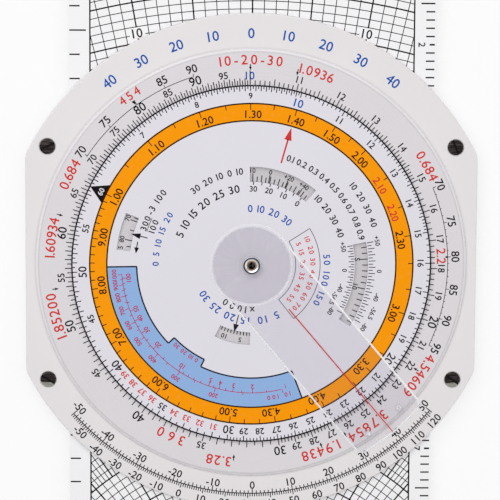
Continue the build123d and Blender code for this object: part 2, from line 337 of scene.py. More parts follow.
class Printing:
    """Marks of one ink on one flat face, joined into one piece."""

    def __init__(self, height, below=False):
        face = Matrix.Rotation(math.pi, 4, "Y") if below else Matrix.Identity(4)
        self.face = Matrix.Translation((0, 0, height)) @ face
        self.marks = []

    def put(self, mark, place):
        copy = mark.copy()
        copy.data = mark.data.copy()
        copy.data.transform(self.face @ place)
        self.marks.append(copy)

    def at(self, mark, x, y, turn=0.0):
        """Puts a mark at a place in millimetres, turned clockwise by degrees."""
        self.put(mark, Matrix.Translation((x * MM, y * MM, 0)) @ Matrix.Rotation(-math.radians(turn), 4, "Z"))

    def around(self, mark, clock, radius, turn=0.0, centre=0.0):
        """Puts a mark at a clock angle and radius, its top outward, then turned clockwise by degrees."""
        place = Matrix.Translation((0, centre * MM, 0)) @ Matrix.Rotation(-math.radians(clock), 4, "Z")
        place @= Matrix.Translation((0, radius * MM, 0)) @ Matrix.Rotation(-math.radians(turn), 4, "Z")
        self.put(mark, place)

    def radial(self, clock, start, end, width, centre=0.0):
        """A line along a radius, from a start to an end."""
        self.around(bar(width, abs(end - start)), clock, min(start, end), centre=centre)

    def arc(self, radius, width, start=0.0, end=FULL_TURN, step=2.0):
        """A line around the middle between two clock angles, or all the way round."""
        sizes = settings()
        depth = (sizes.ink_rise + sizes.ink_sink) / MM
        closed = end - start >= FULL_TURN
        place = Matrix.Rotation(-math.radians(start), 4, "Z")
        place @= Matrix.Translation((0, radius * MM, (sizes.ink_rise - sizes.ink_sink) / 2))
        piece = plane(depth, width, place @ Matrix.Rotation(math.pi / 2, 4, "Y"))
        edit(piece)
        if closed:
            bpy.ops.mesh.delete(type="ONLY_FACE")
            bpy.ops.mesh.select_all(action="SELECT")
        steps = max(2, round((end - start) / step))
        bpy.ops.mesh.spin(steps=steps, angle=math.radians(end - start), center=(0, 0, 0), axis=(0, 0, 1))
        close_edit()
        piece.data.transform(self.face)
        self.marks.append(piece)

    def row(self, texts, start, end, radius, height, turn=0.0):
        """Numbers spread evenly between two clock angles."""
        gap = (end - start) / max(1, len(texts) - 1)
        for place, text in enumerate(texts):
            self.around(figure(text, height), start + gap * place, radius, turn)

    def spaced(self, text, start, end, radius, height):
        """A line of numbers that fills the arc between two clock angles, with like gaps between its figures."""
        glyphs = [None if letter == " " else figure(letter, height) for letter in text]
        widths = [height * 0.35 if glyph is None else glyph.dimensions.x / MM for glyph in glyphs]
        gap = (math.radians(end - start) * radius - sum(widths)) / (len(text) - 1)
        reached = math.radians(start) * radius
        for glyph, width in zip(glyphs, widths):
            if glyph:
                self.around(glyph, math.degrees((reached + width / 2) / radius), radius)
            reached += width + gap

    def join(self, name, finish, body):
        """Makes the marks one piece with one finish, which rides on a body."""
        deselect()
        linked = set(bpy.context.scene.collection.objects)
        for mark in self.marks:
            if mark not in linked:
                bpy.context.scene.collection.objects.link(mark)
            mark.select_set(True)
        bpy.context.view_layer.objects.active = self.marks[0]
        bpy.ops.object.join()
        piece = bpy.context.object
        piece.name = name
        piece.data.name = name
        piece.data.materials.clear()
        piece.data.materials.append(finish)
        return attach(piece, body)


class Value:
    """A shader socket that takes part in sums, so that shader maths reads as written."""

    def __init__(self, paint, socket):
        self.paint = paint
        self.socket = socket

    def _sum(self, operation, first, second):
        return self.paint.node("Math", {"operation": operation}, {0: first, 1: second})

    def __add__(self, other):
        return self._sum("ADD", self, other)

    def __sub__(self, other):
        return self._sum("SUBTRACT", self, other)

    def __rsub__(self, other):
        return self._sum("SUBTRACT", other, self)

    def __mul__(self, other):
        return self._sum("MULTIPLY", self, other)

    def __truediv__(self, other):
        return self._sum("DIVIDE", self, other)

    def __pow__(self, other):
        return self._sum("POWER", self, other)

    __radd__ = __add__
    __rmul__ = __mul__


class Nodes:
    """A tree of shader nodes under construction."""

    def __init__(self, tree):
        self.tree = tree

    def feed(self, socket, value):
        if isinstance(value, Value):
            self.tree.links.new(value.socket, socket)
        elif isinstance(value, (tuple, list)) and len(value) == 3 and socket.type == "RGBA":
            socket.default_value = (*value, 1)
        else:
            socket.default_value = value

    def node(self, kind, choices=None, sockets=None, output=0):
        """Adds a node, makes its choices, feeds its sockets and gives one of its outputs."""
        made = self.tree.nodes.new("ShaderNode" + kind)
        choices = dict(choices or {})
        stops = choices.pop("stops", None)
        for name, value in choices.items():
            setattr(made, name, value)
        if stops:
            ramp = made.color_ramp
            for place, level in stops[len(ramp.elements):]:
                ramp.elements.new(place)
            for element, (place, level) in zip(ramp.elements, stops):
                element.position = place
                element.color = (level, level, level, 1)
        for name, value in (sockets or {}).items():
            self.feed(made.inputs[name], value)
        return Value(self, made.outputs[output])

    def place(self):
        return self.node("TexCoord", output="Object")

    def noise(self, where, scale, detail=2.0, roughness=0.5):
        sockets = {"Vector": where, "Scale": scale, "Detail": detail, "Roughness": roughness}
        return self.node("TexNoise", None, sockets, output="Fac")

    def stretched(self, where, stretch, turn=0.0):
        """The place stretched along each axis, after a turn about z in degrees."""
        sockets = {"Vector": where, "Rotation": (0, 0, math.radians(turn)), "Scale": stretch}
        return self.node("Mapping", None, sockets)

    def distance(self, where):
        """How far a place is from the pivot's axis, in metres."""
        flat = self.node("VectorMath", {"operation": "MULTIPLY"}, {0: where, 1: (1, 1, 0)})
        return self.node("VectorMath", {"operation": "LENGTH"}, {0: flat}, output="Value")

    def ramp(self, value, *stops):
        return self.node("ValToRGB", {"stops": stops}, {"Fac": value})

    def rise(self, length, start, end):
        """A share that goes from 0 to 1 between two lengths in millimetres."""
        return self.node("MapRange", None, {"Value": length, "From Min": start * MM, "From Max": end * MM})

    def size(self, value):
        return self.node("Math", {"operation": "ABSOLUTE"}, {0: value})

    def along(self, where, axis):
        return self.node("SeparateXYZ", None, {0: where}, output=axis)

    def greatest(self, *values):
        """The greatest of some shares."""
        most = values[0]
        for value in values[1:]:
            most = self.node("Math", {"operation": "MAXIMUM"}, {0: most, 1: value})
        return most

    def seen_as_backdrop(self):
        """1 for rays that show a backdrop: from the camera, and mirrored or let through by a piece."""
        kinds = ("Is Camera Ray", "Is Glossy Ray", "Is Transmission Ray")
        return self.greatest(*(self.node("LightPath", output=kind) for kind in kinds))

    def blend(self, share, first, second):
        """A colour between two others."""
        made = self.tree.nodes.new("ShaderNodeMix")
        made.data_type = "RGBA"
        self.feed(made.inputs["Factor"], share)
        self.feed(made.inputs[6], first)
        self.feed(made.inputs[7], second)
        return Value(self, made.outputs[2])

    def bump(self, height, strength, distance):
        sockets = {"Height": height, "Strength": strength, "Distance": distance}
        return self.node("Bump", None, sockets, output="Normal")


class Paint(Nodes):
    """A material under construction, with one Principled shader."""

    def __init__(self, name, **shader):
        self.material = bpy.data.materials.new(name)
        self.material.use_nodes = True
        super().__init__(self.material.node_tree)
        self.shader = self.tree.nodes["Principled BSDF"]
        self.set(**shader)

    def set(self, **sockets):
        """Sets or links the shader's sockets, named with underscores for spaces."""
        for name, value in sockets.items():
            self.feed(self.shader.inputs[name.replace("_", " ")], value)

    def mix_in(self, share, other):
        """Puts another shader over the Principled one, by a share."""
        surface = self.tree.nodes["Material Output"].inputs["Surface"]
        under = surface.links[0].from_socket
        mixed = self.node("MixShader", None, {"Fac": share, 1: Value(self, under), 2: other})
        self.tree.links.new(mixed.socket, surface)


def shaded(tint, share):
    return tuple(level * share for level in tint)


def moulded(name, tint, roughness, turned=0.0, lines=()):
    """Sheet plastic: a faint unevenness of tone, a fine grain, and light scuffs along and around it.

    Each of the lines is a radius in millimetres around which a painted shade darkens the plastic,
    its reach, and how much darker it is, or how much a painted highlight lightens it where that is negative.
    """
    paint = Paint(name, Coat_Roughness=0.12, IOR=1.49)
    where = paint.place()
    cloud = paint.noise(where, 38, 3)
    grain = paint.noise(where, 5200, 1)
    along = paint.noise(paint.stretched(where, (90, 3600, 400), 24), 1, 2)
    across = paint.noise(paint.stretched(where, (2600, 70, 400), 12), 1, 2)
    scuffs = paint.ramp(along, (0.62, 0.0), (0.74, 1.0)) + paint.ramp(across, (0.64, 0.0), (0.76, 1.0))
    radius = paint.distance(where)
    circles = paint.noise(paint.node("CombineXYZ", None, {0: radius * 2600}), 1, 2)
    rubbed = paint.ramp(circles, (0.5, 0.0), (0.8, 1.0)) * turned
    tone = paint.blend(cloud, shaded(tint, 0.965), tint)
    # Painted shade and painted highlight: each ring darkens or lightens the tone by radius.
    for middle, reach, depth in lines:
        share = paint.rise(paint.size(radius - middle * MM), reach, 0)
        shade_or_highlight = shaded(tint, 0.5) if depth > 0 else (0.97, 0.97, 0.98)
        tone = paint.blend(share * (cloud * 0.5 + 0.5) * abs(depth), tone, shade_or_highlight)
    paint.set(
        Base_Color=paint.blend(scuffs * 0.10, tone, shaded(tint, 0.93)),
        Roughness=grain * 0.06 + scuffs * 0.05 + rubbed * 0.08 + cloud * 0.05 + (roughness - 0.08),
        Normal=paint.bump(grain * 0.5 + scuffs * -0.6 + rubbed * 0.5, 0.12, 0.02 * MM),
    )
    return paint.material


def printed(name, tint, roughness=0.5):
    """Ink: nearly even, a little thinner in places."""
    paint = Paint(name, IOR=1.45, Specular_IOR_Level=0.08)
    where = paint.place()
    lighter_patch = paint.ramp(paint.noise(where, 900, 3), (0.58, 0.0), (0.78, 1.0))
    lighter = tuple(level + (1 - level) * 0.03 for level in tint)
    grain = paint.noise(where, 4000, 1)
    paint.set(
        Base_Color=paint.blend(lighter_patch, tint, lighter),
        Roughness=grain * 0.12 + (roughness - 0.06),
        Normal=paint.bump(grain, 0.08, 0.01 * MM),
    )
    return paint.material


def clear(name, tint, arm=False):
    """Clear acrylic sheet, lightly scuffed. Its sloped edges carry a painted highlight of opaque white, and light
    reaches what lies under it.

    On the cursor's arm the painted highlight reaches a little way in from the long edges and the end.
    """
    paint = Paint(name, Transmission_Weight=1.0, IOR=1.49)
    where = paint.place()
    along = paint.noise(paint.stretched(where, (120, 4200, 400), 40), 1, 2)
    scuffs = paint.ramp(along, (0.66, 0.0), (0.78, 1.0))
    cloud = paint.noise(where, 60, 2)
    paint.set(
        Base_Color=paint.blend(cloud, shaded(tint, 0.97), tint),
        Roughness=scuffs * 0.06 + 0.012,
        Normal=paint.bump(scuffs, 0.05, 0.01 * MM),
    )
    # Painted highlight: the sloped edges get an opaque white finish, and on the arm a band beside the long edges
    # and the end gets it as well.
    flat = paint.size(paint.along(paint.node("TexCoord", output="Normal"), "Z"))
    edge = paint.ramp(flat, (0.9, 1.0), (0.97, 0.0))
    radius = paint.distance(where)
    hub = CURSOR_HALF_WIDTH + 0.3
    if arm:
        across = paint.size(paint.along(paint.stretched(where, (1, 1, 1), CURSOR_CLOCK), "X"))
        side = paint.rise(across, CURSOR_HALF_WIDTH - 0.6, CURSOR_HALF_WIDTH - 0.42) * 0.85
        tip = paint.rise(radius, CURSOR_REACH - 0.8, CURSOR_REACH - 0.5) * 0.5
        edge = paint.greatest(edge, side, tip)
    beyond_hub = paint.rise(radius, hub - 0.2, hub + 0.1) * 0.65 + 0.35
    edge_highlight = {"Base Color": (0.98, 0.98, 0.99), "Roughness": 0.25, "IOR": 1.49}
    paint.mix_in(edge * beyond_hub, paint.node("BsdfPrincipled", None, edge_highlight))
    lamp_light = paint.node("LightPath", output="Is Shadow Ray")
    soft_light = paint.node("LightPath", output="Is Diffuse Ray")
    through = paint.node("BsdfTransparent", None, {"Color": (0.985, 0.983, 0.987)})
    paint.mix_in(paint.greatest(lamp_light, soft_light), through)
    return paint.material


def metal(name, tint, roughness, *bands):
    """Turned metal: fine rings around the axis and faint stains.

    Each band is a ring of another colour, from one radius to another in millimetres.
    """
    paint = Paint(name)
    where = paint.place()
    radius = paint.distance(where)
    rings = paint.noise(paint.node("CombineXYZ", None, {0: radius * 9000}), 1, 2)
    stain = paint.noise(where, 700, 3)
    tone = paint.blend(stain, shaded(tint, 0.82), tint)
    soft = 0.06
    for inside, outside, shade in bands:
        band = paint.rise(radius, inside - soft, inside + soft) * paint.rise(radius, outside + soft, outside - soft)
        tone = paint.blend(band, tone, shade)
    paint.set(
        Base_Color=tone,
        Metallic=1.0,
        Roughness=rings * 0.10 + stain * 0.08 + (roughness - 0.09),
        Normal=paint.bump(rings, 0.15, 0.01 * MM),
    )
    return paint.material


def blacked(name, head_top=None, lighter_below=None):
    """Black oxide on a small fastener: brown-black and glossy, a little brighter where it is rubbed.

    Slots and the sides of a head below its top are painted dark as shade, and heads are lighter below a given y, on
    their lower side.
    """
    paint = Paint(name)
    where = paint.place()
    streaks = paint.noise(paint.stretched(where, (260, 2200, 300), 28), 1, 3)
    rubbed = paint.ramp(streaks, (0.45, 0.0), (0.7, 1.0))
    tone = paint.blend(rubbed, (0.022, 0.015, 0.015), (0.088, 0.07, 0.068))
    if head_top is not None:
        # Lighter towards the lower side of the lowest heads, below a given y.
        lighter_patch = paint.rise(lighter_below - paint.along(where, "Y") + streaks * 0.8 * MM, 0.35, 0.6)
        tone = paint.blend(lighter_patch, tone, (0.42, 0.41, 0.37))
        # Painted shade in the slots and down the sides of the heads.
        slot_shade = paint.rise(head_top - paint.along(where, "Z"), 0.15, 0.25)
        tone = paint.blend(slot_shade, tone, (0.006, 0.004, 0.004))
    paint.set(
        Base_Color=tone,
        Metallic=0.55,
        Roughness=rubbed * 0.14 + 0.24,
        Normal=paint.bump(rubbed, 0.12, 0.01 * MM),
    )
    return paint.material


def bonded(name):
    """Clear plastic where it is glued: pale, with bright flecks painted on as glints."""
    paint = Paint(name, IOR=1.49)
    where = paint.place()
    # The bright flecks are painted glints.
    glint_flecks = paint.ramp(paint.noise(where, 1500, 2), (0.45, 0.0), (0.6, 1.0))
    paint.set(
        Base_Color=paint.blend(glint_flecks, (0.66, 0.65, 0.69), (0.97, 0.97, 0.98)),
        Roughness=glint_flecks * -0.1 + 0.25,
        Normal=paint.bump(glint_flecks, 0.4, 0.03 * MM),
    )
    return paint.material


FINISHES = {}


def ink(name):
    """The finish of one ink, made once."""
    if name not in FINISHES:
        FINISHES[name] = printed(name + "_ink", tuple(getattr(bpy.context.scene.slide_rule_inks, name)))
    return FINISHES[name]


def cover(finish, *nodes):
    """Gives CAD nodes a finish."""
    for node in nodes:
        slots = frame["nodes"][node].data.materials
        slots.clear()
        slots.append(finish)


class SLIDE_RULE_OT_finish_body(bpy.types.Operator):
    """Gives the plates, rails, discs, washers and small metal parts their finishes"""

    bl_idname = "slide_rule.finish_body"
    bl_label = "Finish the body"

    def execute(self, context):
        tints = context.scene.slide_rule_plastics
        plate = tuple(tints.plate)
        # On the front plate, a painted shade rings the fixed disc's edge at 67.2 mm.
        cover(moulded("front_plastic", plate, 0.34, lines=((67.2, 0.5, 0.26),)), "front_plate")
        cover(moulded("rear_plastic", plate, 0.36), "rear_plate", "left_rail", "right_rail")
        cover(moulded("slide_sheet", tuple(tints.chart), 0.42), "wind_slide")
        # On the fixed disc: a painted shade in a thin ring inside its bevel, a painted highlight on the bevel, and
        # a painted shade over the middle that the windows show.
        painted_light_rings = ((66.0, 0.28, 0.4), (66.55, 0.45, -0.9), (31.0, 26.0, 0.55))
        cover(moulded("fixed_disc_plastic", tuple(tints.scale), 0.3, turned=1.0, lines=painted_light_rings), "scale_disc")
        cover(moulded("turning_disc_plastic", tuple(tints.dial), 0.34, turned=1.0), "computer_disc", "azimuth_ring")
        # A painted highlight ring at 3.3 mm on the washers.
        washer_highlight_rings = ((3.3, 0.3, -0.6),)
        cover(moulded("washer_sheet", tuple(tints.washer), 0.5, lines=washer_highlight_rings), "disc_washer", "cursor_washer")
        cover(clear("cursor_sheet", tuple(tints.clear), arm=True), "cursor")
        cover(clear("disc_sheet", tuple(tints.clear)), "plotting_disc")
        cover(bonded("bonded_acrylic"), "cursor_feet")
        # The brass core's bore is painted near black as shade.
        hole_shade = (0.01, 0.006, 0.005)
        cover(metal("turned_brass", (0.8, 0.58, 0.46), 0.28, (0.0, 1.14, hole_shade)), "pivot_core", "pivot_washer")
        # The heads are lighter below this y.
        lighter_below = bottom_edge("corner_screws") + 1.5 * MM
        cover(blacked("black_head", top("corner_screws"), lighter_below), "corner_screws")
        cover(blacked("black_nut"), "corner_nuts")
        return {"FINISHED"}


# The rolled flange's section: radii and heights above the flange's top, in millimetres
EYELET_BORE = 1.47
EYELET_TUBE = 2.0
ROLLED_FLANGE = (
    (EYELET_BORE, -0.32),
    (1.55, -0.23),
    (1.68, -0.15),
    (1.85, -0.08),
    (2.05, -0.025),
    (2.25, 0.0),
    (2.55, 0.0),
    (2.68, -0.05),
    (2.77, -0.14),
    (2.8, -0.24),
    (2.77, -0.3),
    (EYELET_TUBE, -0.3),
)


class SLIDE_RULE_OT_roll_eyelet(bpy.types.Operator):
    """Makes the pivot's eyelet with its rolled flange"""

    bl_idname = "slide_rule.roll_eyelet"
    bl_label = "Roll the eyelet"

    def execute(self, context):
        crown = top("pivot_eyelet")
        tail = (bottom("pivot_eyelet") - crown) / MM
        radius, height = EYELET_BORE, tail
        deselect()
        bpy.ops.mesh.primitive_circle_add(vertices=96, radius=radius * MM, location=(0, 0, crown + height * MM))
        piece = bpy.context.object
        bpy.ops.object.transform_apply(location=True, rotation=True, scale=True)
        edit(piece)
        for wider, higher in (*ROLLED_FLANGE, (EYELET_TUBE, tail), (EYELET_BORE, tail)):
            bpy.ops.mesh.extrude_edges_move(TRANSFORM_OT_translate={"value": (0, 0, (higher - height) * MM)})
            bpy.ops.transform.resize(value=(wider / radius, wider / radius, 1), center_override=(0, 0, 0))
            radius, height = wider, higher
        close_edit()
        bpy.ops.object.shade_smooth_by_angle(angle=math.radians(40))
        piece.name = piece.data.name = "rolled_eyelet"
        copper, dull, shadow = (0.6, 0.4, 0.33), (0.8, 0.77, 0.75), (0.09, 0.115, 0.15)
        bands = ((1.35, 1.62, copper), (1.62, 2.08, dull), (2.2, 2.66, shadow))
        piece.data.materials.append(metal("plated_nickel", (0.93, 0.93, 0.95), 0.22, *bands))
        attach(piece, "body")
        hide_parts("pivot_eyelet")
        return {"FINISHED"}


def scale_marks():
    """Values of the marks on a round logarithmic scale, in tenths, and whether each is a long one."""
    for tenths in range(100, 150):
        yield tenths / 10, tenths % 5 == 0
    for tenths in range(150, 300, 2):
        yield tenths / 10, tenths % 10 == 0
    for tenths in range(300, 1000, 5):
        yield tenths / 10, tenths % 10 == 0


OUTER_START = -0.7
INNER_START = 15.87


class SLIDE_RULE_OT_print_outer_scale(bpy.types.Operator):
    """Prints the fixed disc: the outer scale, two short arcs, pointers and plain numbers"""

    bl_idname = "slide_rule.print_outer_scale"
    bl_label = "Print the outer scale"

    def execute(self, context):
        sizes = settings()
        face = top("scale_disc")
        fine, thin = sizes.fine / MM, sizes.thin / MM
        circle = sizes.outer_circle / MM
        black = Printing(face)
        for value, long in scale_marks():
            black.radial(log_turn(value, OUTER_START), circle - 0.3, circle + (1.9 if long else 1.2), thin)
        black.radial(OUTER_START, circle - 0.3, 60.3, thin)
        for value in (*range(11, 20), *range(21, 30), 35, 45, 55, 65, 70, 75, 85, 95):
            black.around(figure(str(value), 2.2), log_turn(value, OUTER_START), 59.25)
        for value in (20, 30, 40, 50, 60, 80, 90):
            black.around(figure(str(value), 2.85), log_turn(value, OUTER_START), 59.65)

        black.arc(61.0, fine, 303.2, 342.7)
        for value in (70, 75, 80, 85, 90):
            clock = log_turn(value, OUTER_START)
            black.radial(clock, 61.0, 61.9, fine)
            if value != 80:
                black.around(figure(str(value), 2.6), clock, 63.5)
        black.arc(61.1, fine, 66.8, 66.8 + FULL_TURN * math.log10(95 / 70))
        for value in range(70, 96):
            clock = 66.8 + FULL_TURN * math.log10(value / 70)
            black.radial(clock, 61.1, 62.1 if value % 5 == 0 else 61.5, fine)
            if value % 5 == 0:
                black.around(figure(str(value), 2.6), clock, 63.6)
        for clock in (359.4, 13.1, 122.6, 151.1, 158.8, 184.9, 262.7, 284.5):
            black.around(wedge(0.85, 1.1), clock, 61.4, turn=180)
            black.radial(clock, 61.2, 62.3, thin)
        black.around(wedge(1.2, 1.5), 324.1, 62.6, turn=180)
        black.around(wedge(0.9, 1.1), 87.7, 61.2, turn=180)
        black.join("outer_scale_black", ink("black"), "body")

        blue = Printing(face)
        blue.around(figure("10", 2.5), OUTER_START, 58.75)
        blue.join("outer_scale_blue", ink("blue"), "body")

        red = Printing(face)
        for text, start, end, radius, height in RED_NUMBERS:
            red.spaced(text, start, end, radius, height)
        red.join("outer_scale_red", ink("red"), "body")
        return {"FINISHED"}


# Plain conversion numbers: text, clock angles of its two ends, middle radius and height
RED_NUMBERS = (
    ("10-20-30", 350.8, 368.4, 63.7, 3.1),
    ("1.0936", 13.5, 23.4, 62.9, 3.1),
    ("0.684", 55.9, 64.9, 62.6, 3.1),
    ("2.2", 85.0, 89.7, 59.2, 2.9),
    ("4.54609", 116.8, 130.2, 63.5, 3.2),
    ("3.7854", 137.9, 150.5, 63.2, 3.3),
    ("1.9438", 153.8, 165.1, 63.2, 3.3),
    ("3.28", 185.6, 192.7, 62.9, 3.2),
    ("3 6 0", 200.4, 209.0, 59.9, 3.2),
    ("1.85200", 248.4, 261.5, 63.2, 3.3),
    ("1.60934", 271.9, 283.3, 62.7, 3.2),
    ("0.684", 292.0, 300.8, 63.0, 3.2),
    ("454", 320.9, 327.3, 64.6, 2.8),
)


class SLIDE_RULE_OT_print_plate(bpy.types.Operator):
    """Prints the front plate: a temperature scale below and a row of plain numbers above"""

    bl_idname = "slide_rule.print_plate"
    bl_label = "Print the front plate"

    def execute(self, context):
        sizes = settings()
        face = top("front_plate")
        thin = sizes.thin / MM
        circle = sizes.plate_circle / MM
        lowest = 179.47

        def clock(celsius):
            return lowest - celsius

        def clock_warm(fahrenheit):
            return lowest - (fahrenheit - 32) * 5 / 9

        black = Printing(face)
        black.arc(circle, thin, clock(50), clock(-50), step=1.5)
        for celsius in range(-50, 51):
            reach = 1.6 if celsius % 10 == 0 else 1.2 if celsius % 5 == 0 else 0.9
            black.radial(clock(celsius), circle - reach, circle, thin)
        for celsius in range(-50, 51, 10):
            black.around(figure(str(celsius), 2.45), clock(celsius) + (0.12 if celsius < 0 else 0), 70.1, turn=180)
        for fahrenheit in range(-58, 123):
            reach = 1.5 if fahrenheit % 10 == 0 else 1.0
            black.radial(clock_warm(fahrenheit), circle, circle + reach, thin)
        for fahrenheit in range(-50, 121, 10):
            radius = 75.2 if fahrenheit == -50 else 76.05
            black.around(figure(str(fahrenheit), 2.45), clock_warm(fahrenheit), radius, turn=180)
        black.join("plate_scale", ink("black"), "body")

        blue = Printing(face)
        for step in range(-4, 5):
            blue.around(figure(str(10 * abs(step)), 3.2), 9.4 * step - 0.3, 71.75)
        blue.join("plate_numbers", ink("blue"), "body")
        return {"FINISHED"}


class SLIDE_RULE_OT_print_window_scales(bpy.types.Operator):
    """Prints what the turning disc's four windows show of the fixed disc"""

    bl_idname = "slide_rule.print_window_scales"
    bl_label = "Print the window scales"

    def execute(self, context):
        thin = settings().thin / MM
        black = Printing(top("scale_disc"))
        for text, clock in (("10", 0.6), ("0", 11.4), ("+20", 23.1), ("+40", 33.4)):
            black.around(figure(text, 1.5), clock, 29.4)
            black.radial(clock, 26.0, 28.5, thin)
        for step in range(-1, 15):
            black.radial(0.6 + 2.9 * step, 25.7, 28.0 if step % 2 == 0 else 27.5, thin)

        for step in range(-1, 16):
            black.radial(78.2 + 3.0 * step, 33.8 if step in (3, 8) else 34.5, 36.4, thin)
        black.around(figure("5", 1.6), 87.1, 33.0)
        black.around(figure("10", 1.6), 102.1, 33.0)

        for step in range(0, 11):
            black.radial(181.0 + 2.6 * step, 21.0, 22.5, thin)
        black.around(figure("5", 1.5), 188.4, 24.0)
        black.around(figure("10", 1.5), 200.8, 24.0)

        for clock, end in ((278.2, 39.2), (281.2, 40.0), (285.9, 39.2), (290.4, 40.0), (291.8, 39.2)):
            black.radial(clock, 37.6, end, thin)
        black.around(figure("80", 1.5), 281.1, 41.0)
        black.around(figure("70", 1.5), 290.7, 41.0)
        black.around(figure("5", 1.5), 277.4, 41.0)
        black.join("window_scales", ink("black"), "body")
        return {"FINISHED"}


class SLIDE_RULE_OT_print_inner_scale(bpy.types.Operator):
    """Prints the turning disc's rim: the inner scale"""

    bl_idname = "slide_rule.print_inner_scale"
    bl_label = "Print the inner scale"

    def execute(self, context):
        sizes = settings()
        face = top("computer_disc")
        thin = sizes.thin / MM
        rim = sizes.inner_circle / MM
        black = Printing(face)
        black.arc(rim - 0.1, sizes.bold / MM, step=1.5)
        for value, long in scale_marks():
            black.radial(log_turn(value, INNER_START), rim - (1.75 if long else 1.1), rim, thin)
        for value in (*range(11, 20), *range(21, 30), 35, 45, 55):
            black.around(figure(str(value), 2.05), log_turn(value, INNER_START), 52.6)
        for value in (70, 80, 90):
            black.around(figure(str(value // 10), 1.9), log_turn(value, INNER_START), 52.6)
        for value in (20, 30, 40, 50):
            black.around(figure(str(value), 2.65), log_turn(value, INNER_START), 52.5)
        black.around(wedge(6.1, 5.3), log_turn(60, INNER_START), 50.25)
        black.join("inner_scale_black", ink("black"), "computer_dial")

        blue = Printing(face)
        blue.around(figure("10", 2.6), INNER_START, 52.3)
        blue.join("inner_scale_blue", ink("blue"), "computer_dial")

        red = Printing(face)
        for value in (31, 32, 33, 34, 36, 37, 38, 39):
            red.around(figure(str(value), 1.9), log_turn(value, INNER_START), 52.4)
        red.join("inner_scale_red", ink("red"), "computer_dial")

        white = Printing(face + sizes.ink_rise)
        white.around(figure("60", 1.7), log_turn(60, INNER_START), 51.9)
        white.join("inner_scale_white", ink("white"), "computer_dial")
        return {"FINISHED"}


class SLIDE_RULE_OT_print_hour_ring(bpy.types.Operator):
    """Prints the orange ring of hours and minutes"""

    bl_idname = "slide_rule.print_hour_ring"
    bl_label = "Print the hour ring"

    def execute(self, context):
        sizes = settings()
        face = top("computer_disc")
        bold = sizes.bold / MM
        inner = sizes.hour_ring_inner / MM
        outer = sizes.hour_ring_outer / MM
        orange = Printing(face)
        orange.arc((inner + outer) / 2, outer - inner)
        orange.join("hour_ring", ink("orange"), "computer_dial")

        brown = Printing(face + sizes.ink_rise)
        brown.arc(inner, bold)
        brown.arc(outer, bold)
        labelled = (*range(60, 121, 10), *range(150, 301, 30), *range(360, 541, 60))
        for minutes in (*range(60, 120, 5), *range(120, 600, 10)):
            clock = log_turn(minutes, INNER_START)
            reach = 1.95 if minutes in labelled else 1.5
            brown.radial(clock, outer - reach, outer, 0.26)
            if minutes in labelled:
                text = f"{minutes // 60}.{minutes % 60:02d}"
                brown.around(figure(text, 2.45), clock + 1.0, 46.9)
        brown.join("hour_ring_marks", ink("brown"), "computer_dial")

        red = Printing(face + sizes.ink_rise)
        for minutes, text in ((130, "2.10"), (140, "2.20")):
            red.around(figure(text, 2.3), log_turn(minutes, INNER_START) + 1.0, 46.8)
        red.join("hour_ring_red", ink("red"), "computer_dial")
        return {"FINISHED"}


class SLIDE_RULE_OT_print_blue_band(bpy.types.Operator):
    """Prints the pale blue band with its two logarithmic rows"""

    bl_idname = "slide_rule.print_blue_band"
    bl_label = "Print the blue band"

    def execute(self, context):
        sizes = settings()
        face = top("computer_disc")
        start, end = 159.1, 269.1
        bump_start, bump_end = 206.1, 226.3
        outer, inner, bump = 44.7, 35.6, 33.1
        sky = Printing(face)
        sky.arc((outer + inner) / 2, outer - inner, start, end)
        sky.arc((inner + bump) / 2, inner - bump, bump_start, bump_end)
        sky.join("blue_band", ink("sky"), "computer_dial")

        layer = face + sizes.ink_rise
        width = sizes.bold / MM
        navy = Printing(layer)
        for radius, first, last in (
            (inner, start, bump_start),
            (inner, bump_end, end),
            (bump, bump_start, bump_end),
        ):
            navy.arc(radius, width, first, last)
        for clock, first, last in (
            (start, inner, outer),
            (end, inner, outer),
            (bump_start, bump, inner),
            (bump_end, bump, inner),
        ):
            navy.radial(clock, first, last, width)
        navy.join("blue_band_outline", ink("navy"), "computer_dial")

        marks = Printing(layer)
        fine = sizes.fine / MM
        marks.arc(40.3, fine, 166.5, 265.6)
        for value in range(100, 1001, 10):
            clock = 265.6 + 99.6 * math.log10(value / 1000)
            if value % 50 == 0:
                marks.radial(clock, 40.3, 41.6 if value % 100 == 0 else 41.0, fine)
        for value in range(200, 1001, 100):
            clock = 265.6 + 99.6 * math.log10(value / 1000)
            marks.around(figure(str(value), 1.45), clock, 42.7)
        for value in (1, 1.5, 2, 2.5, 3, 3.5, 4, 4.5, 5, 6, 7, 8, 9, 10, 15, 20, 25, 30, 35, 40, 50, 60, 70, 80, 90, 100):
            reach = 1.3 if value in (1, 2, 3, 4, 5, 10, 20, 30, 40, 50, 100) else 0.7
            marks.radial(214.1 + 49.8 * math.log10(value / 10), 40.3 - reach, 40.3, fine)
        for value in (2, 3, 4, 5, 10, 20, 30, 40, 50, 100):
            marks.around(figure(str(value), 1.5), 214.1 + 49.8 * math.log10(value / 10), 38.4)
        marks.spaced("10 100", 163.0, 173.0, 42.3, 1.4)
        marks.spaced("0 10 20 30", 208.9, 224.0, 34.5, 1.4)
        marks.join("blue_band_marks", ink("magenta"), "computer_dial")
        return {"FINISHED"}


